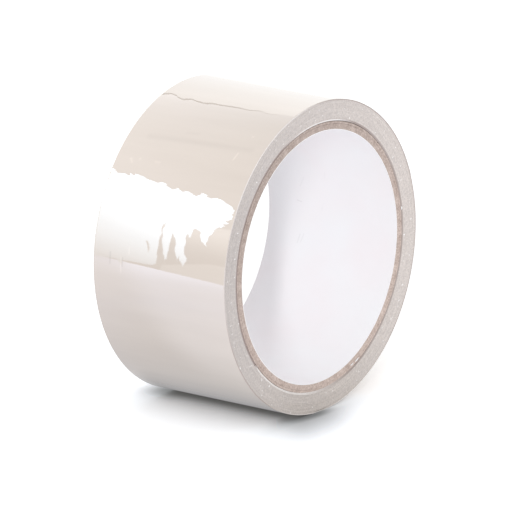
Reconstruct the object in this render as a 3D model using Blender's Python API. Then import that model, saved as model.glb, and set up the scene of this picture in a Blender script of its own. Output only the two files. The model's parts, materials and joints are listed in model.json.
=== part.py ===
"""A roll of clear packing tape on a spiral-wound paper core, standing on its rim.

Sizes are in millimetres and the finished model is in metres, with +Z up. The roll's axis runs along Y and its
front face looks along -Y. The origin is on the floor, under the middle of the roll. Angles round the roll are in
degrees, from +X towards +Z, as seen from the front.
"""
import math

import bmesh
import bpy
import numpy as np
from mathutils import Matrix, Vector

MM = 0.001
FULL_TURN = 360.0

# Paper core
BORE_DIAMETER = 76.0
CORE_RECESS = 0.6
LINER_THICKNESS = 0.4
INNER_PLY_THICKNESS = 0.9
OUTER_PLY_THICKNESS = 0.9
GLUE_LINE = 0.3

# Seams of the core, where the edges of each wound strip of paper meet
STRIP_WIDTH = 120.0
SEAM_GAP = 0.4
LINER_SEAM_ANGLE = 100.0
INNER_PLY_SEAM_ANGLE = 200.0
OUTER_PLY_SEAM_ANGLE = 45.4

# Tape
TAPE_WIDTH = 48.0
TURN_THICKNESS = 0.4
TURN_CLEARANCE = 0.3
PACK_THICKNESS = 4.5
FIRST_TURN_ANGLE = -141.0
FIRST_TURN_END_GAP = 0.6

# Flat that the roll's own weight presses into its rim
FLAT_DEPTH = 0.2

# Free end of the tape, a chain of short lengths that lies against the roll
PEEL_ANGLE = 62.0
TAIL_COUNT = 5
TAIL_LENGTH = 6.5
HINGE_GAP = 0.5
TIP_GAP = 0.6

# Facets of the round faces
FACET_ANGLE = 3.0
SHARP_ANGLE = 30.0

# Radii that follow from the layers, from the bore outwards
LINER_INNER = BORE_DIAMETER / 2
LINER_OUTER = LINER_INNER + LINER_THICKNESS
INNER_PLY_INNER = LINER_OUTER + GLUE_LINE
INNER_PLY_OUTER = INNER_PLY_INNER + INNER_PLY_THICKNESS
OUTER_PLY_INNER = INNER_PLY_OUTER + GLUE_LINE
OUTER_PLY_OUTER = OUTER_PLY_INNER + OUTER_PLY_THICKNESS
FIRST_TURN_INNER = OUTER_PLY_OUTER + TURN_CLEARANCE
FIRST_TURN_OUTER = FIRST_TURN_INNER + TURN_THICKNESS
PACK_INNER = FIRST_TURN_OUTER + TURN_CLEARANCE
PACK_OUTER = PACK_INNER + PACK_THICKNESS
LAST_TURN_INNER = PACK_OUTER + TURN_CLEARANCE
ROLL_RADIUS = LAST_TURN_INNER + TURN_THICKNESS
FILM_RADIUS = (LAST_TURN_INNER + ROLL_RADIUS) / 2
AXIS_HEIGHT = ROLL_RADIUS - FLAT_DEPTH

# The core ends a little inside the tape's edges
CORE_WIDTH = TAPE_WIDTH - 2 * CORE_RECESS


def degrees_along(arc, radius):
    """The angle that an arc of this length covers at this radius."""
    return math.degrees(arc / radius)


def at(radius, angle, y=0.0):
    """A point at this radius and angle round the roll's axis."""
    turn = math.radians(angle)
    return Vector((radius * math.cos(turn), y, radius * math.sin(turn)))


def pressed(point):
    """The point, lifted onto the flat if it is on one of the outer layers that the floor presses in."""
    radius = math.hypot(point.x, point.z)
    if radius > (PACK_INNER + PACK_OUTER) / 2:
        point.z = max(point.z, FLAT_DEPTH - radius)
    return point


def finish(name, colour, roughness):
    """A plain material of this colour (linear RGB) and roughness."""
    material = bpy.data.materials.new(name)
    material.use_nodes = True
    shader = material.node_tree.nodes["Principled BSDF"]
    shader.inputs["Base Color"].default_value = (*colour, 1.0)
    shader.inputs["Roughness"].default_value = roughness
    shader.inputs["Metallic"].default_value = 0.0
    return material


def add_object(name, bm, material, parent):
    """An object in metres made from a mesh in millimetres."""
    bmesh.ops.recalc_face_normals(bm, faces=bm.faces)
    bmesh.ops.scale(bm, vec=(MM, MM, MM), verts=bm.verts)
    mesh = bpy.data.meshes.new(name)
    bm.to_mesh(mesh)
    bm.free()
    mesh.shade_smooth()
    mesh.set_sharp_from_angle(angle=math.radians(SHARP_ANGLE))
    mesh.materials.append(material)
    obj = bpy.data.objects.new(name, mesh)
    obj.parent = parent
    bpy.context.collection.objects.link(obj)
    return obj


def sweep_section(corners, start, sweep, rise=0.0):
    """A section, given as radius and y, turned about the roll's axis from start, and moved along it by rise."""
    bm = bmesh.new()
    verts = [bm.verts.new(at(radius, start, y)) for radius, y in corners]
    edges = [bm.edges.new((verts[i - 1], verts[i])) for i in range(len(verts))]
    steps = max(2, math.ceil(sweep / FACET_ANGLE))
    bmesh.ops.spin(
        bm,
        geom=verts + edges,
        axis=(0.0, -1.0, 0.0),
        dvec=(0.0, rise / steps, 0.0),
        angle=math.radians(sweep),
        steps=steps,
        use_merge=sweep == FULL_TURN,
    )
    ends = [edge for edge in bm.edges if edge.is_boundary]
    bmesh.ops.holes_fill(bm, edges=ends, sides=len(corners))
    return bm


def band(inner, outer, width, start=0.0, sweep=FULL_TURN):
    """A layer of the roll: a ring if it goes the whole way round, and otherwise a length with two ends."""
    half = width / 2
    bm = sweep_section([(inner, -half), (outer, -half), (outer, half), (inner, half)], start, sweep)
    for vert in bm.verts:
        vert.co = pressed(vert.co)
    return bm


def cut_seam(ply, inner, outer, angle, parent):
    """Opens the butt seam of a ply: a slit that climbs round the core from this angle at its front edge."""
    around = math.tau * (inner + outer) / 2
    lead = math.asin(STRIP_WIDTH / around)
    pitch = around * math.tan(lead)
    opening = SEAM_GAP / math.cos(lead)
    overrun = outer - inner + opening
    rise = CORE_WIDTH + 2 * overrun
    low = -rise / 2 - opening / 2
    high = low + opening
    near = inner - GLUE_LINE
    far = outer + GLUE_LINE
    corners = [(near, low), (far, low), (far, high), (near, high)]
    start = angle - FULL_TURN * overrun / pitch
    cutter_mesh = sweep_section(corners, start, FULL_TURN * rise / pitch, rise)
    cutter = add_object(ply.name + "_seam", cutter_mesh, ply.data.materials[0], parent)
    cutter.hide_render = True
    cutter.display_type = "WIRE"
    slit = ply.modifiers.new("seam", "BOOLEAN")
    slit.operation = "DIFFERENCE"
    slit.solver = "EXACT"
    slit.object = cutter


def add_ply(name, inner, outer, seam_angle, material, parent):
    """A ply of the core: a strip of paper wound round the bore, with its edges butted at a slanting seam."""
    ply = add_object(name, band(inner, outer, CORE_WIDTH), material, parent)
    cut_seam(ply, inner, outer, seam_angle, parent)


def add_core(roll):
    """The three plies of the paper core, with their seams staggered."""
    white_paper = finish("white liner paper", (0.87, 0.85, 0.88), 0.75)
    kraft = finish("kraft board", (0.40, 0.32, 0.28), 0.9)
    add_ply("core_liner", LINER_INNER, LINER_OUTER, LINER_SEAM_ANGLE, white_paper, roll)
    add_ply("core_inner_ply", INNER_PLY_INNER, INNER_PLY_OUTER, INNER_PLY_SEAM_ANGLE, kraft, roll)
    add_ply("core_outer_ply", OUTER_PLY_INNER, OUTER_PLY_OUTER, OUTER_PLY_SEAM_ANGLE, kraft, roll)


def first_turn_sweep():
    """How far the first turn goes round before it climbs onto its own start."""
    return FULL_TURN - degrees_along(FIRST_TURN_END_GAP, FIRST_TURN_INNER)


def add_inner_tape(roll):
    """The first turn, with its start stuck to the core, and the pack of turns wound over it."""
    pack = finish("wound clear tape", (0.57, 0.51, 0.48), 0.45)
    film = finish("clear tape on the core", (0.86, 0.84, 0.82), 0.3)
    first = band(FIRST_TURN_INNER, FIRST_TURN_OUTER, TAPE_WIDTH, FIRST_TURN_ANGLE, first_turn_sweep())
    add_object("first_turn", first, film, roll)
    add_object("tape_pack", band(PACK_INNER, PACK_OUTER, TAPE_WIDTH), pack, roll)


def tail_hinge(number):
    """The angle of one hinge of the free end, counted from the peel line, or of the place for one more."""
    return PEEL_ANGLE - number * degrees_along(TAIL_LENGTH + HINGE_GAP, FILM_RADIUS)


def tape_tip():
    """The angle of the tape's tip, half a hinge gap short of where one more hinge would be."""
    return tail_hinge(TAIL_COUNT) + degrees_along(HINGE_GAP, FILM_RADIUS) / 2


def last_turn_end():
    """The angle, a turn further on, where the last turn comes out from under the tape's tip."""
    return tape_tip() + FULL_TURN - degrees_along(TIP_GAP, LAST_TURN_INNER)


def add_outer_tape(roll):
    """The last turn of the tape, and its free end as a chain of short lengths, each hung from the one before."""
    film = finish("clear glossy tape", (0.75, 0.69, 0.62), 0.12)
    half_hinge = degrees_along(HINGE_GAP, FILM_RADIUS) / 2
    length = degrees_along(TAIL_LENGTH, FILM_RADIUS)
    start = PEEL_ANGLE + half_hinge
    turn = band(LAST_TURN_INNER, ROLL_RADIUS, TAPE_WIDTH, start, last_turn_end() - start)
    add_object("last_turn", turn, film, roll)
    parent = roll
    parent_origin = Vector()
    for number in range(TAIL_COUNT):
        angle = tail_hinge(number)
        origin = at(FILM_RADIUS, angle) * MM
        piece_mesh = band(LAST_TURN_INNER, ROLL_RADIUS, TAPE_WIDTH, angle - half_hinge - length, length)
        piece = add_object(f"tail_{number + 1}", piece_mesh, film, parent)
        piece.data.transform(Matrix.Translation(-origin))
        piece.location = origin - parent_origin
        parent = piece
        parent_origin = origin
        print(f"{piece.name} hinge, mm:", [round(c / MM, 4) for c in origin + roll.location])


def least_gap(start, sweep, radius):
    """The least distance between points of a turn that lie over half a turn apart along it."""
    steps = math.ceil(sweep / FACET_ANGLE)
    points = np.array([pressed(at(radius, start + sweep * i / steps)) for i in range(steps + 1)])
    along = np.arange(steps + 1)
    apart = np.abs(along[:, None] - along[None, :]) > steps / 2
    distance = np.linalg.norm(points[:, None] - points[None, :], axis=2)
    return distance[apart].min()


def print_sizes():
    """The sizes that follow from the layers, and how near each single turn comes to itself."""
    first_gap = least_gap(FIRST_TURN_ANGLE, first_turn_sweep(), FIRST_TURN_INNER)
    last_gap = least_gap(tape_tip(), last_turn_end() - tape_tip(), LAST_TURN_INNER)
    print(f"roll: {2 * ROLL_RADIUS:.2f} mm across, {TAPE_WIDTH:.1f} mm wide, axis {AXIS_HEIGHT:.2f} mm up")
    print(f"first turn: least gap to itself {first_gap:.2f} mm")
    print(f"last turn with its free end: least gap to itself {last_gap:.2f} mm")


def main():
    for obj in list(bpy.data.objects):
        bpy.data.objects.remove(obj)
    roll = bpy.data.objects.new("roll", None)
    roll.location = (0.0, 0.0, AXIS_HEIGHT * MM)
    bpy.context.collection.objects.link(roll)
    add_core(roll)
    add_inner_tape(roll)
    add_outer_tape(roll)
    print_sizes()


main()
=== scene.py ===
# %% [markdown]
# # A roll of clear packing tape
# The roll stands on its rim on a white table. The CAD model gives its solids and its one motion, the free
# end that peels off. This lesson gives each solid the surface that the eye expects: glossy film with
# shallow dents, the grey side of the wound turns, brown core board and white paper in the bore.

import json
import math

import bpy
import numpy as np
from mathutils import Matrix, Vector, noise


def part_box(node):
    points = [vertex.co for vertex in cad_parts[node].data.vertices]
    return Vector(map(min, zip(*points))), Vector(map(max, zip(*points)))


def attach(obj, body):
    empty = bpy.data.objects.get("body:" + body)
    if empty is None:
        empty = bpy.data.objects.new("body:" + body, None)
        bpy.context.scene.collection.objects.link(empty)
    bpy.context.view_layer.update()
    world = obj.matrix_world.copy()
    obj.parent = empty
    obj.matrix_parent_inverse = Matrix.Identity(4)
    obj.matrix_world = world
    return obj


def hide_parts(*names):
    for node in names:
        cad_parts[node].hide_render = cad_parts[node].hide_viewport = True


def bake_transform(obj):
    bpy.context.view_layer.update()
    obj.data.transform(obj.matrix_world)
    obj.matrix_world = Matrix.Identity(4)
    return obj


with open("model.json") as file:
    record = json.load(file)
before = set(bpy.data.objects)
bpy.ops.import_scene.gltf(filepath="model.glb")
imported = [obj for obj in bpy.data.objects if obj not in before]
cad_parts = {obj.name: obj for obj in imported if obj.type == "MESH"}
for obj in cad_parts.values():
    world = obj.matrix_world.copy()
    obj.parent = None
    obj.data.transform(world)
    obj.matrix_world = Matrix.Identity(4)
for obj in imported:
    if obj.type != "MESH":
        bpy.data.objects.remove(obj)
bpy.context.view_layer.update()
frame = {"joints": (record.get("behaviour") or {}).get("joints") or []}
MM = 0.001
HAIR = 0.001  # mm, to tell whether two places are the same


def outer_radius(node):
    """The radius of a ring-shaped solid in mm, to a tenth, because a faceted ring measures a hair less."""
    low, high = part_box(node)
    return round((high.x - low.x) / 2 / MM, 1)


half_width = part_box("tape_pack")[1].y / MM
axis_height = sum(corner.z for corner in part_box("core_liner")) / 2 / MM
core_half_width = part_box("core_liner")[1].y / MM
liner_outside = outer_radius("core_liner")
board_middle = outer_radius("core_inner_ply")
board_outside = outer_radius("core_outer_ply")
roll_outside = outer_radius("last_turn")
print(f"roll {2 * roll_outside:.1f} mm across, {2 * half_width:.1f} mm wide, axis {axis_height:.1f} mm up")

# %% [markdown]
# ## Camera
# The photograph was taken with a long lens from far away: the near and the far rim of the roll are almost
# the same size. A short lens close by would make the near rim larger. So the camera stands three metres
# away and looks down by fifteen degrees. Its aim lies a little below the roll's middle, because the roll
# sits a little high in the picture.

# %% Set up the camera
CAMERA_AZIMUTH, CAMERA_ELEVATION, CAMERA_DISTANCE = -52.94, 15.4855, 3.0  # degrees, degrees, metres
LENS, SENSOR = 716.66, 36.0  # mm
AIM_RIGHT, AIM_DOWN = 0.038, 3.472  # mm from the roll's middle

azimuth, elevation = math.radians(CAMERA_AZIMUTH), math.radians(CAMERA_ELEVATION)
outward = math.cos(elevation)
back = Vector((math.sin(azimuth) * outward, -math.cos(azimuth) * outward, math.sin(elevation)))
right = Vector((math.cos(azimuth), math.sin(azimuth), 0))
middle = Vector((0, 0, axis_height)) * MM
camera = bpy.data.objects.new("camera", bpy.data.cameras.new("camera"))
camera.data.lens, camera.data.sensor_width = LENS, SENSOR
camera.location = middle + (right * AIM_RIGHT - back.cross(right) * AIM_DOWN) * MM + back * CAMERA_DISTANCE
camera.rotation_mode = "QUATERNION"
camera.rotation_quaternion = (-back).to_track_quat("-Z", "Y")
bpy.context.scene.collection.objects.link(camera)
bpy.context.scene.camera = camera
bpy.context.scene.view_settings.view_transform = "Standard"
print("camera at", [round(x, 3) for x in camera.location])

# %% [markdown]
# ## Helpers for materials
# Colours are written as hex values, as in a paint program, and Blender wants them linear. Nodes are added
# by one function: its inputs are values, or the nodes and sockets that feed them. In the photograph, paper,
# board and film are each lighter on one side of the roll, more than the lights here make them. So the last
# helper scales a colour across the roll to match, and part of the photograph's light is in these materials.

# %% Define the material helpers
def linear(hex_colour):
    """A hex colour such as dcd1c7 as linear red, green, blue and alpha, by the sRGB curve."""
    values = [int(hex_colour[i:i + 2], 16) / 255 for i in (0, 2, 4)]
    return [v / 12.92 if v <= 0.04045 else ((v + 0.055) / 1.055) ** 2.4 for v in values] + [1.0]


def add_node(tree, kind, inputs=None, **settings):
    """Adds a node. Settings are its properties. An input is a value, or the node or socket that feeds it."""
    node = tree.nodes.new("ShaderNode" + kind)
    for name, value in settings.items():
        setattr(node, name, value)
    for name, value in (inputs or {}).items():
        if isinstance(value, bpy.types.Node):
            value = next(socket for socket in value.outputs if socket.enabled)
        if isinstance(value, bpy.types.NodeSocket):
            tree.links.new(value, node.inputs[name])
        else:
            node.inputs[name].default_value = value
    return node


def start_material(name):
    """An empty material and its node tree."""
    material = bpy.data.materials.new(name)
    material.use_nodes = True
    material.node_tree.nodes.clear()
    return material, material.node_tree


def finish_material(material, shader):
    """Makes this shader the material's surface."""
    add_node(material.node_tree, "OutputMaterial", {"Surface": shader})
    print(f"{material.name}: {len(material.node_tree.nodes)} nodes")


def shade_towards(tree, colour, angle, low, high):
    """Scales a colour from low to high across the roll. High lies at this angle, in degrees from +X to +Z."""
    turn = math.radians(angle)
    place = add_node(tree, "VectorMath", {
        0: add_node(tree, "TexCoord").outputs["Object"], 1: middle}, operation="SUBTRACT")
    along = add_node(tree, "VectorMath", {
        0: place, 1: (math.cos(turn), 0.0, math.sin(turn))}, operation="DOT_PRODUCT")
    factor = add_node(tree, "MapRange", {
        "Value": along, "From Min": -roll_outside * MM, "From Max": roll_outside * MM,
        "To Min": low, "To Max": high})
    return add_node(tree, "VectorMath", {0: colour, "Scale": factor}, operation="SCALE")


print("cream", [round(v, 3) for v in linear("dcd1c7")])

# %% [markdown]
# ## Helpers for rings
# Every piece of this roll is a ring of some section. A screw modifier would give each turn the same
# section, but here the section changes on the way round: dents in the film, a flat where the roll stands, a
# seam that runs askew. So a ring is a grid of points, one closed loop of section points for each angle, and
# a skin is drawn through it.

# %% Define the ring helpers
def around(angles, radius, across):
    """Points in metres. Angles are degrees from +X towards +Z, and radius and across are in mm."""
    turn = np.radians(angles)
    parts = np.broadcast_arrays(radius * np.cos(turn), across, axis_height + radius * np.sin(turn))
    return np.stack(parts, axis=-1) * MM


def skin(name, points, material, closed=True, sharp=35):
    """A closed mesh through points[turn, loop]. Loops go towards +Y on the outside and back on the inside."""
    turns, loop = points.shape[:2]
    index = np.arange(turns * loop).reshape(turns, loop)
    here, after = (index, np.roll(index, -1, 0)) if closed else (index[:-1], index[1:])
    faces = np.stack([here, np.roll(here, -1, 1), np.roll(after, -1, 1), after], -1).reshape(-1, 4).tolist()
    if not closed:
        faces += [index[0][::-1].tolist(), index[-1].tolist()]
    mesh = bpy.data.meshes.new(name)
    mesh.from_pydata(points.reshape(-1, 3).tolist(), [], faces)
    mesh.polygons.foreach_set("use_smooth", [True] * len(mesh.polygons))
    mesh.set_sharp_from_angle(angle=math.radians(sharp))
    mesh.materials.append(material)
    piece = bpy.data.objects.new(name, mesh)
    bpy.context.scene.collection.objects.link(piece)
    print(f"{name}: {len(mesh.polygons)} faces")
    return piece


def lumps(angles, radius, across, round_size, across_size, offset=0.0):
    """Smooth noise of about -1 to 1, with lumps of these sizes in mm round the roll and across it."""
    turn = np.radians(angles)
    spots = np.stack(np.broadcast_arrays(
        radius * np.cos(turn) / round_size + offset,
        across / across_size + offset,
        radius * np.sin(turn) / round_size), -1)
    flat = [noise.noise(spot) for spot in spots.reshape(-1, 3)]
    return np.array(flat).reshape(spots.shape[:-1])


print("a point of the rim, in metres:", around(0, roll_outside, half_width).round(4))

# %% [markdown]
# ## White paper liner
# The bore is lined with bleached paper, so that the roll slides on a dispenser's hub. Handling leaves faint
# scratches in it. They could be cut into the mesh, but they have no depth to see. So each is a short line
# in the material, and the paper is darker near that line. Faces that point along the roll's axis, the cut
# ends of the paper, are drawn whiter.

# %% Make the liner's paper
# Real fibres are hundredths of a mm wide, so they are drawn coarser to show
PAPER_FIBRE, PAPER_CLOUD = 0.9, 16  # mm: fibres, and cloudy patches
SCRATCH_INSET, SCRATCH_WIDTH = 0.48, 0.35  # mm in from the solid's outside, and mm over which a scratch fades
LINER_SCRATCHES = [  # start and end as degrees and mm across, and how the scratch scales the paper's tone
    ((-10.8, 11.6), (-14.6, 12.2), 0.90), ((-10.2, 10.2), (-14.0, 11.0), 0.92),
    ((4.9, 13.0), (4.5, 11.4), 0.88), ((22.0, 1.0), (2.0, 4.0), 0.965), ((17.0, 9.5), (12.0, 11.5), 0.95),
]

# Bleached kraft paper: matt and almost white, a little violet beside the cream film
paper, tree = start_material("bleached_liner_paper")
coords = add_node(tree, "TexCoord").outputs["Object"]
fibre = add_node(tree, "TexNoise", {"Vector": coords, "Scale": 1 / (PAPER_FIBRE * MM), "Detail": 3.0})
cloud = add_node(tree, "TexNoise", {"Vector": coords, "Scale": 1 / (PAPER_CLOUD * MM), "Detail": 2.0})
tint = add_node(tree, "Mix", {
    "Factor": cloud, "A": linear("ede6e8"), "B": linear("eceff1")}, data_type="RGBA")
# Painted light and shade: the paper is made lighter towards -X and darker towards +X
toned = shade_towards(tree, tint, 180, 0.905, 1.275)
for *ends, strength in LINER_SCRATCHES:
    start, end = (Vector(around(angle, liner_outside - SCRATCH_INSET, across)) for angle, across in ends)
    passed = add_node(tree, "VectorMath", {0: coords, 1: start}, operation="SUBTRACT")
    passed = add_node(tree, "VectorMath", {0: passed, 1: (end - start).normalized()}, operation="DOT_PRODUCT")
    share = add_node(tree, "MapRange", {"Value": passed, "From Max": (end - start).length})
    spot = add_node(tree, "Mix", {"Factor": share, "A": [*start, 1], "B": [*end, 1]}, data_type="RGBA")
    apart = add_node(tree, "VectorMath", {0: coords, 1: spot}, operation="DISTANCE")
    factor = add_node(tree, "MapRange", {
        "Value": apart, "From Max": SCRATCH_WIDTH * MM, "To Min": strength, "To Max": 1.0})
    toned = add_node(tree, "VectorMath", {0: toned, "Scale": factor}, operation="SCALE")
rough = add_node(tree, "Bump", {"Height": fibre, "Strength": 0.15, "Distance": 0.05 * MM})
# Faces that point along the roll's axis, such as the paper's cut ends, are drawn whiter
normal = add_node(tree, "NewGeometry").outputs["Normal"]
facing = add_node(tree, "SeparateXYZ", {"Vector": normal})
cut = add_node(tree, "Math", {0: facing.outputs["Y"]}, operation="ABSOLUTE")
toned = add_node(tree, "Mix", {"Factor": cut, "A": toned, "B": linear("f9f9f9")}, data_type="RGBA")
finish_material(paper, add_node(tree, "BsdfPrincipled", {
    "Base Color": toned, "Roughness": 0.75, "IOR": 1.5, "Normal": rough}))

# %% [markdown]
# The liner is a strip wound askew into a tube, edge against edge. A lathed tube would have no seam, so the
# strip is wound as in the factory: a point is turned further round the further back it lies, and a narrow
# gap stays open where the strip's edges meet. The saw leaves the ends of the tube a little uneven.

# %% Wind the liner
LINER_PAPER = 0.19  # mm, the paper's thickness
BORE_INSET = 0.56  # mm from the solid's outside in to the paper's face
CORE_END = core_half_width + 0.26  # mm, where the cut core ends
CORE_STEPS, CORE_TURNS, END_RUNGS = 24, 360, 6  # points across, round and up a cut end
END_DEPTH, END_LUMP = 0.04, 1.5  # mm: how uneven a cut end is, and the size of its lumps
STRIP_WIDTH = 120  # mm, of the board and paper strips that the core is wound from
SEAM_ANGLE_LINER, SEAM_GAP = 100, 0.15  # degrees at the front end, and mm


def wound_strip(name, inside, outside, seam, gap, material):
    """A tube wound from one strip: its seam leans, and its cut ends are a little uneven."""
    places = np.linspace(-CORE_END, CORE_END, CORE_STEPS)
    rungs = np.linspace(inside, outside, END_RUNGS + 2)[1:-1]
    across = np.concatenate([
        places, np.full(END_RUNGS, CORE_END), places[::-1], np.full(END_RUNGS, -CORE_END)])
    radius = np.concatenate([
        np.full(CORE_STEPS, outside), rungs[::-1], np.full(CORE_STEPS, inside), rungs])
    lean = math.degrees(math.tan(math.asin(STRIP_WIDTH / (math.tau * outside))) ** -1 / outside)
    opening = math.degrees(gap / outside)
    start = np.linspace(opening / 2, 360 - opening / 2, CORE_TURNS)[:, None]
    angles = seam + start + lean * (across + CORE_END)[None, :]
    ends = np.sign(across) * (np.abs(across) > CORE_END - HAIR)
    uneven = END_DEPTH * lumps(angles, radius[None, :], across[None, :], END_LUMP, END_LUMP)
    across = across[None, :] + ends[None, :] * (uneven - END_DEPTH)
    return skin(name, around(angles, radius[None, :], across), material, closed=False)


bore = liner_outside - BORE_INSET
liner = wound_strip("core_liner_paper", bore, bore + LINER_PAPER, SEAM_ANGLE_LINER, SEAM_GAP, paper)
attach(liner, "roll")
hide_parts("core_liner")

# %% [markdown]
# ## Core board
# Under the liner lie two plies of grey-brown board, wound like the liner. Only their cut ends show, as a
# brown ring with a faint glue line in it and a dark gap round it. One tube with a painted line would look
# alike from afar, but two plies give a real groove, and the seam of the outer one is the notch at the upper
# right.

# %% Make the two plies of board
PULP, PULP_PATCH = 0.45, 3  # mm: clumps of pulp, and larger patches
PATCH_SHARE = 0.4  # how much the patches count
SEAM_ANGLE_INNER, SEAM_ANGLE_OUTER, NOTCH = 200, 45.4, 0.9  # degrees, degrees, mm
LINER_GLUE, GLUE_LINE = 0.02, 0.03  # mm under the liner, and mm on each side between the plies
CORE_GAP = 0.45  # mm between the board and the first turn

# Board from recycled pulp: dull and mottled, with fibre clumps that the saw tore open
board, tree = start_material("recycled_core_board")
coords = add_node(tree, "TexCoord").outputs["Object"]
pulp = add_node(tree, "TexNoise", {
    "Vector": coords, "Scale": 1 / (PULP * MM), "Detail": 2.0, "Roughness": 0.7})
patch = add_node(tree, "TexNoise", {"Vector": coords, "Scale": 1 / (PULP_PATCH * MM), "Detail": 2.0})
shade = add_node(tree, "Math", {0: patch, 1: PATCH_SHARE, 2: pulp}, operation="MULTIPLY_ADD")
spread = add_node(tree, "MapRange", {"Value": shade, "From Min": 0.45, "From Max": 0.95})
tint = add_node(tree, "Mix", {
    "Factor": spread, "A": linear("a29086"), "B": linear("d6c6bd")}, data_type="RGBA")
# Painted light and shade: the board is made lighter towards +X below the axis, darker towards -X above it
toned = shade_towards(tree, tint, -60, 0.83, 1.20)
rough = add_node(tree, "Bump", {"Height": pulp, "Strength": 0.4, "Distance": 0.1 * MM})
finish_material(board, add_node(tree, "BsdfPrincipled", {
    "Base Color": toned, "Roughness": 0.9, "IOR": 1.5, "Normal": rough}))

inner_ply = wound_strip("core_board_inner", bore + LINER_PAPER + LINER_GLUE, board_middle - GLUE_LINE,
                        SEAM_ANGLE_INNER, SEAM_GAP, board)
outer_ply = wound_strip("core_board_outer", board_middle + GLUE_LINE, board_outside - CORE_GAP,
                        SEAM_ANGLE_OUTER, NOTCH, board)
for ply, node in ((inner_ply, "core_inner_ply"), (outer_ply, "core_outer_ply")):
    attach(ply, "roll")
    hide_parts(node)

# %% [markdown]
# ## First turn of the tape
# The tape starts on the core. Its first turn is only just held by the core's edge, and in two places its
# edge stands out from the side, painted white there as a bright highlight. Two materials would meet at a
# hard border. So there is one, and a number stored at each point of the mesh says how white the edge is
# painted there: white as a painted highlight where it stands out, a little paler on the right as painted
# light, and dark brown elsewhere, the board seen through the film with painted shade of the gap beside it.

# %% Make the film's cut edge
EDGE_SPECKLE = 0.6  # mm, coarser than the knife's real marks, so that it shows

# Cut edge of clear film: painted white as a highlight where the lip stands out, and dark brown elsewhere,
# partly the board seen through the film and partly painted shade of the gap beside it
pale_film, tree = start_material("cut_edge_of_clear_film")
coords = add_node(tree, "TexCoord").outputs["Object"]
speckle = add_node(tree, "TexNoise", {"Vector": coords, "Scale": 1 / (EDGE_SPECKLE * MM), "Detail": 2.0})
white = add_node(tree, "Mix", {
    "Factor": speckle, "A": linear("d8cfc8"), "B": linear("fbf8f5")}, data_type="RGBA")
painted_edge_light = add_node(tree, "Attribute", attribute_name="painted_edge_light")
tint = add_node(tree, "Mix", {
    "Factor": painted_edge_light.outputs["Fac"], "A": linear("9a887e"), "B": white}, data_type="RGBA")
finish_material(pale_film, add_node(tree, "BsdfPrincipled", {
    "Base Color": tint, "Roughness": 0.35, "IOR": 1.5}))

# %% Shape the first turn
FIRST_TURN_START, START_GAP, FIRST_TURN_STEPS = -141, 0.2, 720  # degrees, degrees, sections
FIRST_TURN_INSIDE, FIRST_TURN_OUTSIDE = board_outside - 0.3, board_outside + 0.25  # mm
EDGE_BACK, LIP_BACK = 0.06, 0.05  # mm: the edge lies behind the roll's side, and its lip within the outside
PROUD, CURL, LIP_THICKNESS = 0.14, 0.45, 0.28  # mm that the lip stands out and curls in, and how thick it is
LIFTS_OVER, CURLS_OVER, FLUSH_OVER = 3, 45, 35  # degrees in which the lip does so, and settles again
FLUSH_BY = -65  # degrees, where it has settled
UPPER_STRETCH, RIGHT_SIDE_STRETCH = (72, 110, 14), (-65, 60, 30)  # degrees: from, to and soft ends
RIGHT_SIDE_LIGHT = 0.22  # how much paler the edge is painted on the right, as painted light
DISH = 0.36  # mm that the side of the roll falls back from its rim to the core


def side_face(radius):
    """Half the roll's width at this radius, in mm: half the tape's at the rim, and less by the core."""
    return half_width - DISH * (roll_outside - radius) / (roll_outside - board_outside)


def bump_between(angles, start, end, soft):
    """1 between two angles in degrees, 0 outside, with soft ends."""
    position = (angles - start + 180) % 360 - 180
    return np.clip(np.minimum(position, (end - start) - position) / soft + 0.5, 0, 1)


def store(piece, name, values):
    """Stores a number at each point of a mesh, for a material to read."""
    attribute = piece.data.attributes.new(name, "FLOAT", "POINT")
    attribute.data.foreach_set("value", values.ravel().astype(np.float32))


angles = FIRST_TURN_START + np.linspace(START_GAP, 360 - START_GAP, FIRST_TURN_STEPS)[:, None]
every = 0 * angles  # gives a single number one value for every angle
passed = angles - FIRST_TURN_START
peeled = np.clip(passed / LIFTS_OVER, 0, 1) * np.clip((FLUSH_BY - angles) / FLUSH_OVER, 0, 1)
shows = np.maximum(peeled, bump_between(angles, *UPPER_STRETCH))
curl = CURL * np.clip(passed / CURLS_OVER, 0, 1) * (peeled > 0)
inside, outside = FIRST_TURN_INSIDE + every, FIRST_TURN_OUTSIDE + every
edge = side_face(FIRST_TURN_OUTSIDE) - EDGE_BACK + every
lip = outside - LIP_BACK - curl
lip_edge = -edge - PROUD * shows
radius = np.concatenate([lip, outside, outside, inside, inside, lip - LIP_THICKNESS], axis=1)
across = np.concatenate([lip_edge, -edge, edge, edge, -edge, lip_edge], axis=1)
first_turn = skin("tape_first_turn", around(angles, radius, across), pale_film, closed=False)
# How white the edge is painted: a painted highlight where the lip stands out, and painted light on the right
pale = np.maximum(shows, RIGHT_SIDE_LIGHT * bump_between(angles, *RIGHT_SIDE_STRETCH))
store(first_turn, "painted_edge_light", np.broadcast_to(pale, radius.shape))
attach(first_turn, "roll")
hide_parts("first_turn")

# %% [markdown]
# ## Frayed paper
# Where the core was sawn off, a few slivers of its paper stick out over the edge. A speck in a material
# would have no height. Each is a short strip instead, pointed at both ends and bent outwards in the middle,
# so that it catches the light as a real sliver does, and its ends sit in the core's edge.

# %% Add the slivers
SLIVERS = [  # first and last angle in degrees, radius and width in mm
    (7.9, 9.7, 40.6, 0.5), (-67.8, -65.2, 39.5, 0.35), (-64.6, -61.2, 39.75, 0.4),
]
SLIVER_STEPS, SLIVER_TIP = 9, 0.1  # sections, and where on the sine the pointed ends start
SLIVER_ROOT, SLIVER_BEND, SLIVER_THICKNESS = 0.1, 0.24, 0.06  # mm: how deep it sits, bends out and measures

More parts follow.
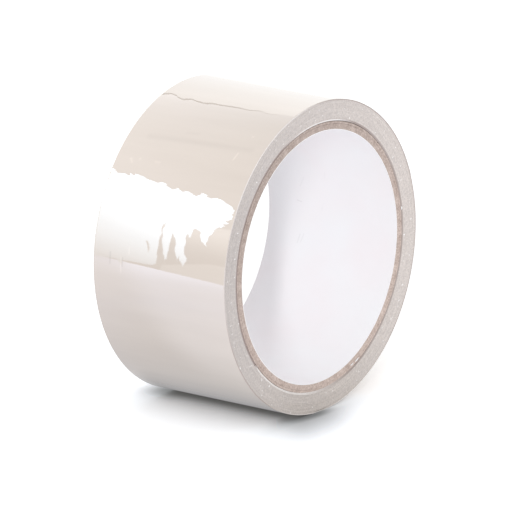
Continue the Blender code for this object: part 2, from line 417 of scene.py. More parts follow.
for k, (first, last, place, width) in enumerate(SLIVERS, start=1):
    angles = np.linspace(first, last, SLIVER_STEPS)[:, None]
    bulge = np.sin(np.linspace(SLIVER_TIP, math.pi - SLIVER_TIP, SLIVER_STEPS))[:, None]
    outer, inner = place + bulge * width / 2, place - bulge * width / 2
    front = SLIVER_ROOT - CORE_END - SLIVER_BEND * bulge
    rear = front + SLIVER_THICKNESS
    radius = np.concatenate([outer, outer, inner, inner], axis=1)
    across = np.concatenate([front, rear, rear, front], axis=1)
    sliver = skin(f"core_sliver_{k}", around(angles, radius, across), paper, closed=False)
    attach(sliver, "roll")

# %% [markdown]
# ## Side of the wound turns
# The side of the roll is some hundred and forty cut edges of film, one on another. Single edges are too
# fine to see, but the turns don't line up exactly, so the side is a warm grey with fine rings, and specks
# of dust stick to it. A wood texture's rings would be too even, so the rings are noise that is stretched
# along the turns: it changes fast with the distance from the axis, and slowly on the way round.

# %% Make the stacked edges
# Real turns are 0.045 mm apart, so the rings are drawn coarser to show
RING, RING_WOBBLE = 0.22, 20  # mm outwards, and mm on the way round
DUST, GRAIN = 0.9, 0.5  # mm between specks of dust, and the mottling of the cut edges

# Stacked edges of clear film: a warm grey that scatters light, with painted light and shade across the roll
edges, tree = start_material("stacked_edges_of_clear_film")
coords = add_node(tree, "TexCoord").outputs["Object"]
part = add_node(tree, "SeparateXYZ", {"Vector": coords})
up = add_node(tree, "Math", {0: part.outputs["Z"], 1: axis_height * MM}, operation="SUBTRACT")
flat = add_node(tree, "CombineXYZ", {"X": part.outputs["X"], "Z": up})
reach = add_node(tree, "VectorMath", {0: flat}, operation="LENGTH")
ring = add_node(tree, "Math", {0: reach, 1: 1 / (RING * MM)}, operation="MULTIPLY")
slow = add_node(tree, "VectorMath", {0: flat, 1: (1 / (RING_WOBBLE * MM),) * 3}, operation="MULTIPLY")
slow_part = add_node(tree, "SeparateXYZ", {"Vector": slow})
ring_place = add_node(tree, "CombineXYZ", {
    "X": ring, "Y": slow_part.outputs["X"], "Z": slow_part.outputs["Z"]})
rings = add_node(tree, "TexNoise", {"Vector": ring_place, "Scale": 1.0, "Detail": 2.0})
tint = add_node(tree, "Mix", {
    "Factor": rings, "A": linear("c8beb6"), "B": linear("f1e8e1")}, data_type="RGBA")
grain = add_node(tree, "TexNoise", {"Vector": coords, "Scale": 1 / (GRAIN * MM), "Detail": 1.0})
spread = add_node(tree, "MapRange", {
    "Value": grain, "From Min": 0.3, "From Max": 0.7, "To Min": 0.89, "To Max": 1.10})
tint = add_node(tree, "VectorMath", {0: tint, "Scale": spread}, operation="SCALE")
# Painted light and shade: the side is made lighter towards +X and darker towards -X
painted_side_light = shade_towards(tree, tint, 0, 0.735, 0.908)
dust = add_node(tree, "TexNoise", {
    "Vector": coords, "Scale": 1 / (DUST * MM), "Detail": 1.0, "Roughness": 0.5})
speck = add_node(tree, "MapRange", {"Value": dust, "From Min": 0.71, "From Max": 0.79})
tint = add_node(tree, "Mix", {"Factor": speck, "A": painted_side_light, "B": linear("f8f5f2")}, data_type="RGBA")
rough = add_node(tree, "Bump", {"Height": rings, "Strength": 0.35, "Distance": 0.1 * MM})
finish_material(edges, add_node(tree, "BsdfPrincipled", {
    "Base Color": tint, "Roughness": 0.5, "IOR": 1.5, "Normal": rough}))

# %% Shape the pack of turns
LAST_TURN_DEPTH = 0.3  # mm that the last turn takes of the roll's outside
RINGS, PACK_TURNS = 64, 360
LOW_PART = 0.5  # the sine, below the axis, from which the table can press on the roll
STEP_OUT, STEP_TURNS = 0.05, 0.25  # mm that turns stand out, and mm of turns that do so together
STEP_RADIUS, STEP_LENGTH = 12.0, 14  # mm: the steps change slowly on the way round
REAR_OFFSET = 7.3  # gives another pattern behind


def pressed(angles, radius, lift=0.0):
    """Cuts the radius short on the table side, so that nothing comes nearer to the table than lift, in mm."""
    down = np.maximum(-np.sin(np.radians(angles)), LOW_PART)
    limit = np.where(down > LOW_PART, (axis_height - lift) / down, np.inf)
    return np.minimum(radius, limit)


angles = np.linspace(0, 360, PACK_TURNS, endpoint=False)[:, None]
ladder = np.linspace(FIRST_TURN_OUTSIDE, roll_outside - LAST_TURN_DEPTH, RINGS)
front_steps, rear_steps = (
    STEP_OUT * (lumps(angles, STEP_RADIUS, ladder[None, :] / STEP_TURNS, STEP_LENGTH, 1, offset) - 0.5)
    for offset in (0.0, REAR_OFFSET))
front = -side_face(ladder)[None, :] - front_steps
rear = half_width + rear_steps
radius = np.concatenate([ladder[::-1], ladder])[None, :] + 0 * angles
across = np.concatenate([rear[:, ::-1], front], axis=1)
pack = skin("tape_pack_turns", around(angles, pressed(angles, radius, LAST_TURN_DEPTH), across), edges)
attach(pack, "roll")
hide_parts("tape_pack")
print(f"the flat is {2 * math.sqrt(roll_outside ** 2 - axis_height ** 2):.1f} mm long")

# %% [markdown]
# ## Last turn
# The outside of the roll is glossy film over many more turns of film, which together look cream. Its maker
# stretched it, and that leaves faint streaks. A glossy shader alone would lose the cream body, and a real
# stack of clear films would take long to render. So it is one cream body with a clear coat, and fine
# scratches, dull streaks and a few ticks of painted reflection are numbers stored at the points of its
# mesh.

# %% Make the glossy film
STREAK_ROUND, STREAK_ACROSS = 4, 30  # mm that a streak is wide, round the roll, and long, across it


def streaked(tree):
    """The cream of clear film in bulk, with faint streaks."""
    coords = add_node(tree, "TexCoord").outputs["Object"]
    narrow, long = 1 / (STREAK_ROUND * MM), 1 / (STREAK_ACROSS * MM)
    stretch = add_node(tree, "Mapping", {"Vector": coords, "Scale": (narrow, long, narrow)})
    streaks = add_node(tree, "TexNoise", {"Vector": stretch, "Scale": 1.0, "Detail": 3.0})
    return add_node(tree, "Mix", {
        "Factor": streaks, "A": linear("d8cdc3"), "B": linear("e0d5cb")}, data_type="RGBA")


# Stretched polypropylene film: mirror-smooth and clear, so the room shows in it, sharp, over the cream
film, tree = start_material("clear_polypropylene_film")
tint = streaked(tree)
# Scratches and streaks, and a few ticks of painted reflection, darken or lighten the cream
scuffs_and_reflection_ticks = add_node(tree, "Attribute", attribute_name="scuffs_and_reflection_ticks")
spread = add_node(tree, "MapRange", {
    "Value": scuffs_and_reflection_ticks.outputs["Fac"], "From Min": -1.0, "From Max": 1.0,
    "To Min": 0.92, "To Max": 1.08}, clamp=False)
tint = add_node(tree, "VectorMath", {0: tint, "Scale": spread}, operation="SCALE")
# Painted light and shade: the film's body is made lighter towards +X and up, darker towards -X and down
toned = shade_towards(tree, tint, 60, 0.92, 1.05)
finish_material(film, add_node(tree, "BsdfPrincipled", {
    "Base Color": toned, "Roughness": 0.012, "IOR": 1.5,
    "Coat Weight": 1.0, "Coat Roughness": 0.006, "Coat IOR": 1.5}))

# %% [markdown]
# The film looks like a mirror, but the pressure of winding and small air pockets leave dents of some
# thousandths of a millimetre, and a mirror shows each as a wavy edge of what it reflects. A bump map would
# bend the reflections too, but the exported mesh would lose it. So the mesh is fine enough to hold the
# dents. Its outside is a spiral: it gains one film's thickness in a turn, and the free end starts where
# that turn ends.

# %% Shape the outside of the roll
FILM_TURNS, FILM_PLACES = 600, 193
TIP_ANGLE, PEEL_ANGLE, FLUSH_ANGLE = 19.45, 62.0, 66.0  # degrees: the free end's tip, and where it joins
FREE_FILM = 0.06  # mm, drawn as thick as it needs to be to show an edge
DENTS = [  # mm high, mm long round the roll and across it, offset
    (0.006, 8.0, 30.0, 0.0), (0.0010, 2.5, 2.5, 9.7),
]
FILM_EDGE, EDGE_STEPS = 0.12, 5  # mm: the film's edge is rounded
FILM_INSIDE = roll_outside - 0.32  # mm


def dents(angles, across):
    """Height of the film's dents in mm."""
    return sum(height * lumps(angles, roll_outside, across, *sizes) for height, *sizes in DENTS)


def film_height(angles):
    """Radius of the roll in mm: a spiral that gains one film in a turn, and dips under the free end."""
    passed = (TIP_ANGLE - angles) % 360
    spiral = np.clip(passed / (360 - (FLUSH_ANGLE - TIP_ANGLE)), 0, 1)
    under = np.clip((passed - (360 - (FLUSH_ANGLE - TIP_ANGLE))) / (FLUSH_ANGLE - PEEL_ANGLE), 0, 1)
    return roll_outside - FREE_FILM * (1 - spiral + under)


angles = np.linspace(0, 360, FILM_TURNS, endpoint=False)[:, None]
corner = np.radians(np.linspace(0, 90, EDGE_STEPS))[1:]
places = np.linspace(-half_width + FILM_EDGE, half_width - FILM_EDGE, FILM_PLACES)
top = film_height(angles) + dents(angles, places[None, :])
drop = FILM_EDGE * (1 - np.cos(corner))
inner = FILM_INSIDE + 0 * angles
radius = np.concatenate([
    top, top[:, -1:] - drop[None, :], inner, inner, top[:, :1] - drop[None, ::-1]], axis=1)
reach = places[-1] + FILM_EDGE * np.sin(corner)
across = np.concatenate([places, reach, [half_width, -half_width], -reach[::-1]])[None, :]
last_turn = skin("tape_last_turn", around(angles, pressed(angles, radius), across), film)
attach(last_turn, "roll")
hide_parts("last_turn")

# %% [markdown]
# The rounded edge of the film takes the cut edge's material, and is painted whiter at some angles round the
# roll as a painted highlight. The marks on the film are few and each is seen, so they are listed one by one
# instead of coming from noise.

# %% Mark the film
RIM_BASE, RIM_SOFT = 0.25, 20  # how white the rim is at least, and degrees over which that changes
RIM_GLINTS = [(95, 155, 0.65), (155, 195, 0.3), (245, 310, 0.75)]  # from and to in degrees, how much whiter
FILM_MARKS = [  # as strokes takes them: dull streaks, bright scratches, and ticks of painted reflection by the lamp's foot
    (128.9, 16.5, 126.6, -19.5, 1.5, -0.7), (124.6, 5.0, 124.0, 1.0, 0.8, -0.5),
    (139.1, 18.9, 140.5, 17.9, 0.45, 1.6), (138.8, 15.8, 138.8, 15.5, 0.45, 1.4),
    (138.8, 10.1, 138.8, 8.3, 0.4, 1.4), (132.1, -15.5, 129.1, -15.9, 0.4, 1.7),
    (120.7, -17.0, 120.7, -17.2, 0.5, 1.4),
    (174.0, 17.9, 178.0, 17.9, 0.4, -1.8), (175.2, 13.4, 178.2, 13.4, 0.4, -1.6),
    (175.3, 13.9, 180.4, 13.9, 0.35, 1.5), (171.2, 11.1, 173.3, 11.1, 0.4, 1.2),
]


def strokes(angles, radius, across, marks):
    """Strength of fine marks on the roll. A mark is (angle, across, angle, across, width in mm, strength)."""
    total = np.zeros(np.broadcast(angles, across).shape)
    for angle_1, across_1, angle_2, across_2, width, strength in marks:
        along = np.array([math.radians(angle_2 - angle_1) * radius, across_2 - across_1])
        spot = np.stack(np.broadcast_arrays(np.radians(angles - angle_1) * radius, across - across_1), -1)
        share = np.clip(spot @ along / (along @ along), 0, 1)
        distance = np.linalg.norm(spot - share[..., None] * along, axis=-1)
        total += strength * np.clip(1 - distance / width, 0, 1)
    return total


last_turn.data.materials.append(pale_film)
rim_start = (half_width - FILM_EDGE - HAIR) * MM
rim = [int(min(abs(last_turn.data.vertices[v].co.y) for v in face.vertices) > rim_start)
       for face in last_turn.data.polygons]
last_turn.data.polygons.foreach_set("material_index", rim)
# Painted highlight along the rim, strongest between these angles
glints = sum(glint * bump_between(angles, start, end, RIM_SOFT) for start, end, glint in RIM_GLINTS)
store(last_turn, "painted_edge_light", RIM_BASE + glints + 0 * across)
store(last_turn, "scuffs_and_reflection_ticks", strokes(angles, roll_outside, across, FILM_MARKS))
print(f"{sum(rim)} faces on the rim, {len(FILM_MARKS)} marks on the film")

# %% [markdown]
# ## Free end
# The end of the tape lies on the roll, on the side away from the camera, cut straight across. It peels off
# in a curl. In the CAD model five short lengths with hinges stand for the curl. A strip on each of them
# would break apart at the hinges. So the strips are cut at the middles of the lengths instead: the last
# one rides on the last length, and the others stay where they lie at rest.

# %% Make the free end
STRIP_STEPS, STRIP_PLACES = 14, 49
FILM_GAP, FILM_LEAST = 0.004, 0.003  # mm that the free film stays off the roll, and its least thickness
LENGTHS = 5  # of film between hinges, in the CAD model

# A single film: more than half the light goes through it, and its own gloss is what the eye sees of it
loose, tree = start_material("single_clear_film")
finish_material(loose, add_node(tree, "BsdfPrincipled", {
    "Base Color": streaked(tree), "Roughness": 0.06, "IOR": 1.5, "Alpha": 0.4,
    "Coat Weight": 1.0, "Coat Roughness": 0.03, "Coat IOR": 1.5}))

hinge_angles = []
for joint in frame["joints"]:
    x, _, z = joint["pos_m"]
    hinge_angles.append(math.degrees(math.atan2(z / MM - axis_height, x / MM)))
middles = [(a + b) / 2 for a, b in zip(hinge_angles, hinge_angles[1:] + [TIP_ANGLE])]
cuts = [FLUSH_ANGLE] + middles + [TIP_ANGLE]
for k, (start, end) in enumerate(zip(cuts, cuts[1:]), start=1):
    angles = np.linspace(end, start, STRIP_STEPS)[:, None]
    places = np.linspace(-half_width, half_width, STRIP_PLACES)[None, :]
    waves = dents(angles, places)
    top = roll_outside + waves
    under = np.minimum(film_height(angles) + waves + FILM_GAP, top - FILM_LEAST)
    radius = np.concatenate([top, under[:, ::-1]], axis=1)
    across = np.concatenate([places, places[:, ::-1]], axis=1)
    strip = skin(f"tape_free_end_{k}", around(angles, radius, across), loose, closed=False)
    if k <= LENGTHS:
        hinge = around(hinge_angles[k - 1], roll_outside, 0.0)
        stop = around(middles[k - 1], roll_outside, 0.0)
        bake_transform(strip)
        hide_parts(f"tail_{k}")
    else:
        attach(strip, "tail_5")

# %% [markdown]
# ## Table
# The roll stands on a white table that fades into a white room. Lamps as strong as the photographer's would
# whiten any table, but they would bleach the roll too. So this table is two in one, and Light Path chooses
# between them. The camera sees a matt white table with a soft shadow painted on it: narrow beside the roll,
# wide in front of it, where it leans to the left, and darkest at the foot of the rim. Levels over 1 make up
# for the dim light on it.

# %% Paint the shadow that the camera sees
TABLE_LIT, TABLE_SHADED = (1.455, 1.5, 1.545, 1), (0.395, 0.41, 0.417, 1)
TABLE_CLEAR = (1.42, 1.42, 1.42, 1)  # right of the roll, where no shadow falls
SHADOW_RIGHT = 0.80  # the shadow falls off more slowly on its right
SHADOW_POWER = 3.0  # the higher, the harder its edge
SHADOW_ENDS = ((-52, -19), (38, 25))  # mm along the axis: where the shadow has faded, and where it is full
RIM_FOOT = (-0.0052, -0.0246, 0.0)  # metres, the darkest spot
RIM_FOOT_SHAPE = (1 / 0.0125, 1 / 0.0040, 0.0)  # one over its half axes in metres
RIM_FOOT_LEVEL, RIM_FOOT_CORE = 0.52, 0.15  # how dark that spot is, and the share of it that is all dark

# White melamine laminate: matt and even, so that the eye sees nothing on it but the shadow
white_table, tree = start_material("white_laminate_table")
path = add_node(tree, "LightPath")
place = add_node(tree, "TexCoord").outputs["Object"]
part = add_node(tree, "SeparateXYZ", {"Vector": place})

# How far a point lies aside from the shadow's middle
lean = add_node(tree, "MapRange", {
    "Value": part.outputs["Y"], "From Min": -60 * MM, "From Max": -27 * MM,
    "To Min": 37 * MM, "To Max": 9 * MM})
sideways = add_node(tree, "Math", {0: part.outputs["X"], 1: lean}, operation="ADD")
leftward = add_node(tree, "Math", {0: sideways, 1: -1.0}, operation="MULTIPLY")
sideways = add_node(tree, "Math", {0: sideways, 1: SHADOW_RIGHT}, operation="MULTIPLY")
sideways = add_node(tree, "Math", {0: sideways, 1: leftward}, operation="MAXIMUM")
# How wide the shadow is there
front_width = add_node(tree, "MapRange", {
    "Value": part.outputs["Y"], "From Min": -27 * MM, "From Max": -17.3 * MM,
    "To Min": 14.5 * MM, "To Max": 5.3 * MM},
    interpolation_type="SMOOTHSTEP")
rear_width = add_node(tree, "MapRange", {
    "Value": part.outputs["Y"], "From Min": 16 * MM, "From Max": 25 * MM,
    "To Min": 5.7 * MM, "To Max": 8.3 * MM})
width = add_node(tree, "Math", {0: front_width, 1: rear_width}, operation="MAXIMUM")
# How dark it is: full in the middle, soft at its sides and its two ends, darkest at the foot of the rim
share = add_node(tree, "Math", {0: sideways, 1: width}, operation="DIVIDE")
share = add_node(tree, "Math", {0: share, 1: SHADOW_POWER}, operation="POWER")
share = add_node(tree, "Math", {0: share, 1: 1.0}, operation="ADD")
soft = add_node(tree, "Math", {0: 1.0, 1: share}, operation="DIVIDE")
for clear_end, dark_end in SHADOW_ENDS:
    past = add_node(tree, "MapRange", {
        "Value": part.outputs["Y"], "From Min": clear_end * MM, "From Max": dark_end * MM},
        interpolation_type="SMOOTHSTEP")
    soft = add_node(tree, "Math", {0: soft, 1: past}, operation="MULTIPLY")
tint = add_node(tree, "Mix", {"Factor": soft, "A": TABLE_LIT, "B": TABLE_SHADED}, data_type="RGBA")
foot = add_node(tree, "VectorMath", {0: place, 1: RIM_FOOT}, operation="SUBTRACT")
foot = add_node(tree, "VectorMath", {0: foot, 1: RIM_FOOT_SHAPE}, operation="MULTIPLY")
foot = add_node(tree, "VectorMath", {0: foot}, operation="LENGTH")
dark = add_node(tree, "MapRange", {
    "Value": foot, "From Min": RIM_FOOT_CORE, "To Min": RIM_FOOT_LEVEL, "To Max": 1.0},
    interpolation_type="SMOOTHSTEP")
tint = add_node(tree, "VectorMath", {0: tint, "Scale": dark}, operation="SCALE")
# The table to the right of the roll
rightward = add_node(tree, "MapRange", {
    "Value": part.outputs["X"], "From Min": 14 * MM, "From Max": 26 * MM}, interpolation_type="SMOOTHSTEP")
inward = add_node(tree, "MapRange", {
    "Value": part.outputs["Y"], "From Min": -30 * MM, "From Max": -22 * MM}, interpolation_type="SMOOTHSTEP")
clear = add_node(tree, "Math", {0: rightward, 1: inward}, operation="MULTIPLY")
tint = add_node(tree, "Mix", {"Factor": clear, "A": tint, "B": TABLE_CLEAR}, data_type="RGBA")
seen = add_node(tree, "BsdfDiffuse", {"Color": tint})
print("shadow painted with", len(tree.nodes), "nodes")

# %% [markdown]
# All other rays meet a table that glows dimly. Diffuse rays take from it the light that the roll gets from
# below, which is weakest close to the roll. Mirrored and see-through rays take what the film shows of the
# table: dim under the roll and behind it, brighter round a lamp's foot on the left, and cooler far away.

# %% Set what the roll gets from the table
TABLE_BOUNCE, TABLE_MIRRORED = (1.0, 0.99, 1.01, 1), (0.88, 1.0, 1.32, 1)
GLOW_PLACE = (-0.255, 0.150, 0.0)  # metres, the lamp's foot
GLOW_REACH, GLOW_LEVEL = 170, 1.7  # mm that its glow reaches, and how much brighter the table is there
ENDS_STEEPER = 2.5  # the dim zone ends so much faster in front of and behind the roll than beside it
REARWARD = (0.6, 0.8, 0.0)  # the way towards the back of the table
REAR_LEVEL = 0.85  # the most that the film shows of it there

# What is mirrored
lengthways = add_node(tree, "Math", {0: part.outputs["Y"]}, operation="ABSOLUTE")
beyond = add_node(tree, "Math", {0: lengthways, 1: half_width * MM}, operation="SUBTRACT")
beyond = add_node(tree, "Math", {0: beyond, 1: 0.0}, operation="MAXIMUM")
steep = add_node(tree, "Math", {0: beyond, 1: ENDS_STEEPER}, operation="MULTIPLY")
offset = add_node(tree, "CombineXYZ", {"X": part.outputs["X"], "Y": steep})
away = add_node(tree, "VectorMath", {0: offset}, operation="LENGTH")
near = add_node(tree, "MapRange", {
    "Value": away, "From Min": 4 * MM, "From Max": 50 * MM, "To Min": 0.12, "To Max": 1.4})
rearward = add_node(tree, "VectorMath", {0: place, 1: REARWARD}, operation="DOT_PRODUCT")
behind = add_node(tree, "MapRange", {
    "Value": rearward, "From Min": -24 * MM, "From Max": -9 * MM}, interpolation_type="SMOOTHSTEP")
dim = add_node(tree, "Math", {0: near, 1: REAR_LEVEL}, operation="MINIMUM")
shaded = add_node(tree, "Mix", {"Factor": behind, "A": near, "B": dim}, data_type="FLOAT")
to_lamp = add_node(tree, "VectorMath", {0: place, 1: GLOW_PLACE}, operation="DISTANCE")
glow = add_node(tree, "MapRange", {
    "Value": to_lamp, "From Max": GLOW_REACH * MM, "To Min": GLOW_LEVEL, "To Max": 1.0},
    interpolation_type="SMOOTHSTEP")
pattern = add_node(tree, "Math", {0: shaded, 1: glow}, operation="MULTIPLY")

# What lights the roll from below: more of it reaches the side of the roll on the right
rim_light = add_node(tree, "MapRange", {
    "Value": part.outputs["X"], "From Min": -20 * MM, "From Max": 8 * MM, "To Min": 0.2, "To Max": 1.6})
spill = add_node(tree, "MapRange", {"Value": beyond, "From Max": 6 * MM, "To Min": rim_light, "To Max": 1.1})
spill = add_node(tree, "Math", {0: near, 1: spill}, operation="MAXIMUM")
bounce = add_node(tree, "MapRange", {"Value": beyond, "From Max": 30 * MM, "To Min": 0.32, "To Max": 0.72})
bounce = add_node(tree, "Math", {0: spill, 1: bounce}, operation="MULTIPLY")
# The choice between the two, and their colours
mirrored = add_node(tree, "Math", {
    0: path.outputs["Is Glossy Ray"], 1: path.outputs["Is Transmission Ray"]}, operation="MAXIMUM")
strength = add_node(tree, "Mix", {"Factor": mirrored, "A": bounce, "B": pattern}, data_type="FLOAT")
far = add_node(tree, "MapRange", {"Value": away, "From Min": 30 * MM, "From Max": 110 * MM})
cool = add_node(tree, "Math", {0: far, 1: mirrored}, operation="MULTIPLY")
tint = add_node(tree, "Mix", {"Factor": cool, "A": TABLE_BOUNCE, "B": TABLE_MIRRORED}, data_type="RGBA")
unseen = add_node(tree, "Emission", {"Color": tint, "Strength": strength})
finish_material(white_table, add_node(tree, "MixShader", {
    0: path.outputs["Is Camera Ray"], 1: unseen, 2: seen}))
white_table.cycles.emission_sampling = "NONE"  # the glow is met by chance and not aimed at, as a lamp is

# %% Lay the table
TABLE_SIZE, TABLE_DROP = 4.0, 0.02  # metres from its middle to its edge, and mm that it lies below the roll


def flat_sheet(name, outline, material):
    """A stage object of one flat face, which isn't part of the roll."""
    mesh = bpy.data.meshes.new(name)
    mesh.from_pydata(outline, [], [range(len(outline))])
    mesh.materials.append(material)
    sheet = bpy.data.objects.new(name, mesh)
    bpy.context.scene.collection.objects.link(sheet)
    return sheet


corners = ((-1, -1), (1, -1), (1, 1), (-1, 1))
outline = [(x * TABLE_SIZE, y * TABLE_SIZE, -TABLE_DROP * MM) for x, y in corners]
table = flat_sheet("table", outline, white_table)
print(table.name, "of", 2 * TABLE_SIZE, "m")

# %% [markdown]
# ## Room and key lamp
# The room is white all round, and a world of one level gives its soft light from all sides. What the camera
# sees, and what film mirrors or lets through, is full white, and the light that falls on the roll is a
# little less, so that pale surfaces don't clip. A tall soft lamp on the left gives the light a direction.
# It would show in the film as a plain rectangle, so reflections don't see it, and the cards of the next
# step stand for what the film mirrors.

# %% Fill the room with light
ROOM_LEVEL = 0.80

world = bpy.data.worlds.new("white_room")
bpy.context.scene.world = world
world.use_nodes = True
tree = world.node_tree
tree.nodes.clear()
path = add_node(tree, "LightPath")
seen = path.outputs["Is Camera Ray"]
for kind in ("Is Glossy Ray", "Is Transmission Ray"):
    seen = add_node(tree, "Math", {0: seen, 1: path.outputs[kind]}, operation="MAXIMUM")
strength = add_node(tree, "Mix", {"Factor": seen, "A": ROOM_LEVEL, "B": 1.0}, data_type="FLOAT")
sky = add_node(tree, "Background", {"Color": (1, 1, 1, 1), "Strength": strength})
add_node(tree, "OutputWorld", {"Surface": sky})
print("room light at", ROOM_LEVEL)

# %% Set up the key lamp
KEY_AZIMUTH, KEY_ELEVATION, KEY_DISTANCE = 209.5, 12.0, 2.0  # degrees, degrees, metres
KEY_WIDTH, KEY_HEIGHT = 0.12, 0.85  # metres
KEY_LEVEL = 0.28  # how brightly a white sheet that faces the lamp shines


def direction(azimuth, elevation):
    """A unit vector from an azimuth, from +X towards +Y, and an elevation, in degrees."""
    a, e = math.radians(azimuth), math.radians(elevation)
    return Vector((math.cos(a) * math.cos(e), math.sin(a) * math.cos(e), math.sin(e)))


towards = direction(KEY_AZIMUTH, KEY_ELEVATION)
key = bpy.data.objects.new("key_lamp", bpy.data.lights.new("key_lamp", "AREA"))
key.data.shape = "RECTANGLE"
key.data.size, key.data.size_y = KEY_WIDTH, KEY_HEIGHT
key.data.energy = KEY_LEVEL * 4 * math.pi * KEY_DISTANCE ** 2
key.location = middle + towards * KEY_DISTANCE
key.rotation_mode = "QUATERNION"
key.rotation_quaternion = towards.to_track_quat("Z", "Y")
key.visible_camera = key.visible_glossy = False
bpy.context.scene.collection.objects.link(key)
print(f"key lamp of {key.data.energy:.1f} W")

# %% [markdown]
# ## Cards that the film mirrors
# A glossy thing looks like what it mirrors. In this film that is a lamp with a ragged top, tall reeds
# before it, a backdrop, a wall and a ceiling. Modelling a whole room for it would be slow. A photographer
# would hold up white cards, and so does this scene: flat glowing cards that only reflections see, so they
# put no light on the roll. Their outlines are short lists of points, traced in the photograph, and a
# seeded random helper breaks them into the teeth that the film's dents would make.

# %% Define the card helpers
UP = Vector((0, 0, 1))


def light_card(name, outline, origin, along, upward, strength, tint=(1, 1, 1, 1), fade=None):
    """A card that only reflections see, with its outline in mm. Fade is (low, high, level, slant): the card
    dims evenly from its full strength at the height high, in mm, to the level at low, and slant adds that
    share of the way along to the height."""
    material, tree = start_material(name + "_glow")
    shine = strength
    if fade:
        low, high, level, slant = fade
        place = add_node(tree, "TexCoord").outputs["Object"]
        height = add_node(tree, "VectorMath", {0: place, 1: (slant, 1.0, 0.0)}, operation="DOT_PRODUCT")
        shine = add_node(tree, "MapRange", {
            "Value": height, "From Min": low * MM, "From Max": high * MM,
            "To Min": level, "To Max": strength})
    finish_material(material, add_node(tree, "Emission", {"Color": tint, "Strength": shine}))
    card = flat_sheet(name, [(u * MM, v * MM, 0) for u, v in outline], material)
    turn = Matrix((along, upward, along.cross(upward))).transposed().to_4x4()
    card.matrix_world = Matrix.Translation(origin) @ turn
    card.visible_camera = card.visible_diffuse = card.visible_shadow = False


def ragged(outline, tooth, depth, seed):
    """Breaks an outline into uneven teeth, as dents in the film break a mirrored edge. Sizes in mm."""
    chance = np.random.default_rng(seed)
    points = []
    for (u, v), (u_2, v_2) in zip(outline, outline[1:]):
        count = max(1, round(math.hypot(u_2 - u, v_2 - v) / tooth))
        for i in range(count):
            shift = depth * chance.uniform(-1, 1, 2) if i else (0.0, 0.0)
            points.append((u + (u_2 - u) * i / count + shift[0], v + (v_2 - v) * i / count + shift[1]))
    return points + outline[-1:]


print("up is", tuple(UP))

# %% Hang the lamp's card
LAMP_TOP = [
    (-17, 42), (-10, 42), (-6, 37.5), (-5, 39.5), (-2.5, 39), (-5, 43.5), (0, 36.5), (-4, 44), (1, 42.5),
    (6.5, 41), (6, 44), (13.5, 38), (12.5, 43), (16.5, 39.5), (16, 42.5), (22, 38), (19.5, 46.5),
    (25.5, 41.5), (25, 45.5), (30, 42), (34.5, 38), (38.5, 31), (43, 18), (46.5, 1),
]
LAMP_REEDS = [
    (45, 3), (47, -16), (50, -34), (47, -26), (43.5, -12), (40.5, -8), (43.5, -26), (41, -19),
    (44.5, -43), (47, -68), (46, -79), (44.5, -59), (44.5, -75), (43, -56), (40, -32), (37.5, -24),
    (40, -45), (41, -67), (40.5, -81), (39, -55), (36, -31), (32, -10), (35, -28), (37.5, -56),
    (37.5, -83),
]
LAMP_FOOT = [(36, -88), (27, -88), (26, -100), (25, -88), (19, -89), (0, -92), (-17, 0)]
LAMP_MARK = [(32.5, -44), (34, -48), (35, -56), (35, -65), (34, -53)]  # a dim patch just before the lamp
LAMP_LEVEL, LAMP_TINT, LAMP_FADE, MARK_LEVEL = 6.3, (0.80, 1.0, 1.17, 1), (-67, 35, 1.2, 0.9), 0.9
LAMP_WAY = (-0.707, 0.588, 0.393)  # from the roll's middle towards the lamp
LAMP_DISTANCE, MARK_DISTANCE = 0.16, 0.1595  # metres

lamp_sides = ragged(LAMP_TOP, tooth=2.5, depth=0.9, seed=4) + ragged(LAMP_REEDS, tooth=7, depth=0.5, seed=2)
towards_lamp = Vector(LAMP_WAY).normalized()
lamp_along = UP.cross(towards_lamp).normalized()
lamp_upward = towards_lamp.cross(lamp_along)
light_card("lamp", lamp_sides + LAMP_FOOT, middle + towards_lamp * LAMP_DISTANCE, lamp_along, lamp_upward,
           LAMP_LEVEL, LAMP_TINT, LAMP_FADE)
light_card("lamp_mark", LAMP_MARK, middle + towards_lamp * MARK_DISTANCE, lamp_along, lamp_upward, MARK_LEVEL)
print(len(lamp_sides + LAMP_FOOT), "points round the lamp")

# %% Stand up the backdrop and the wall
BACKDROP_START, BACKDROP_END = Vector((-0.327, 0.256, 0.0)), Vector((-0.197, 0.066, 0.0))  # metres
BACKDROP_HEIGHT, BACKDROP_LEVEL, BACKDROP_FADE, SKIRTING_LEVEL = 160, 1.85, (60, 137, 0.3, 0.0), 0.85
WALL_DISTANCE, WALL_AZIMUTH, WALL_HALF, WALL_HEIGHT = 0.3, 49.5, 400, 430  # metres, degrees, mm, mm
WALL_LEVEL, WALL_FADE = 1.7, (120, 304, 1.2, 0.0)

edge_along = (BACKDROP_END - BACKDROP_START).normalized()
edge_length = (BACKDROP_END - BACKDROP_START).length / MM
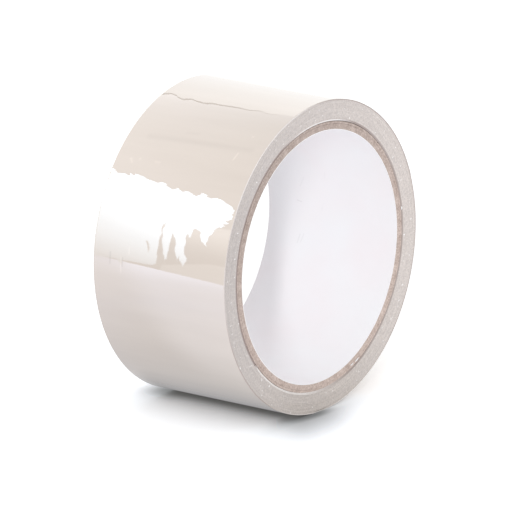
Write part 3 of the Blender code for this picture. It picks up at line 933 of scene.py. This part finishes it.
# Outlines in mm along the backdrop and up
skirting = [(118, 0), (edge_length, 0), (edge_length, 54), (171, 48), (156, 39), (141, 29), (124, 17)]
over_skirting = [(0, 0), skirting[0]] + skirting[:2:-1] + [skirting[2]]
light_card("backdrop", over_skirting + [(edge_length, BACKDROP_HEIGHT), (0, BACKDROP_HEIGHT)],
           BACKDROP_START, edge_along, UP, BACKDROP_LEVEL, fade=BACKDROP_FADE)
light_card("skirting", skirting, BACKDROP_START, edge_along, UP, SKIRTING_LEVEL)
towards_wall = direction(WALL_AZIMUTH, 0)
light_card("wall", [(-WALL_HALF, 0), (WALL_HALF, 0), (WALL_HALF, WALL_HEIGHT), (-WALL_HALF, WALL_HEIGHT)],
           towards_wall * WALL_DISTANCE, towards_wall.cross(UP), UP, WALL_LEVEL, fade=WALL_FADE)
print(f"backdrop {edge_length:.0f} mm long")

# %% Hang the ceiling
CEILING_EDGE = [
    (29, 80), (37, 79), (28, 70.5), (32.5, 69.5), (28.5, 62.5), (31.5, 61), (31.5, 57.5), (33.5, 51.5),
    (32.5, 47.5), (36.5, 45.5), (33, 40), (37, 38.5), (39.5, 35.5),
]
CEILING_NEAR, CEILING_FAR = [(-150, -20), (42, -20)], [(28, 150), (-150, 150)]
CEILING_HEIGHT = 107  # mm over the roll's axis
CEILING_LEVEL, CEILING_TINT, CEILING_FADE = 1.92, (1, 1, 1.03, 1), (-20, 100, 0.46, 0.416)
STRIP_SIZE, STRIP_TAPER, STRIP_LEVEL = (3.0, 1.5), 7, 0.3  # a dark strip there: mm, tapering points, level

ceiling_edge = ragged(CEILING_EDGE, tooth=4, depth=0.5, seed=7)
ceiling = (middle + UP * CEILING_HEIGHT * MM, Vector((1, 0, 0)), Vector((0, 1, 0)))
light_card("ceiling", CEILING_NEAR + ceiling_edge[::-1] + CEILING_FAR, *ceiling,
           CEILING_LEVEL, CEILING_TINT, CEILING_FADE)
last = len(ceiling_edge) - 1
strip_back = []
for i, (x, y) in enumerate(ceiling_edge[:-1]):
    share = min(1.0, (last - i) / STRIP_TAPER)
    strip_back.append((x + STRIP_SIZE[0] * share, y + STRIP_SIZE[1] * share))
light_card("ceiling_edge", ceiling_edge + strip_back[::-1], *ceiling, STRIP_LEVEL)
print(len(ceiling_edge), "points along the ceiling's edge")
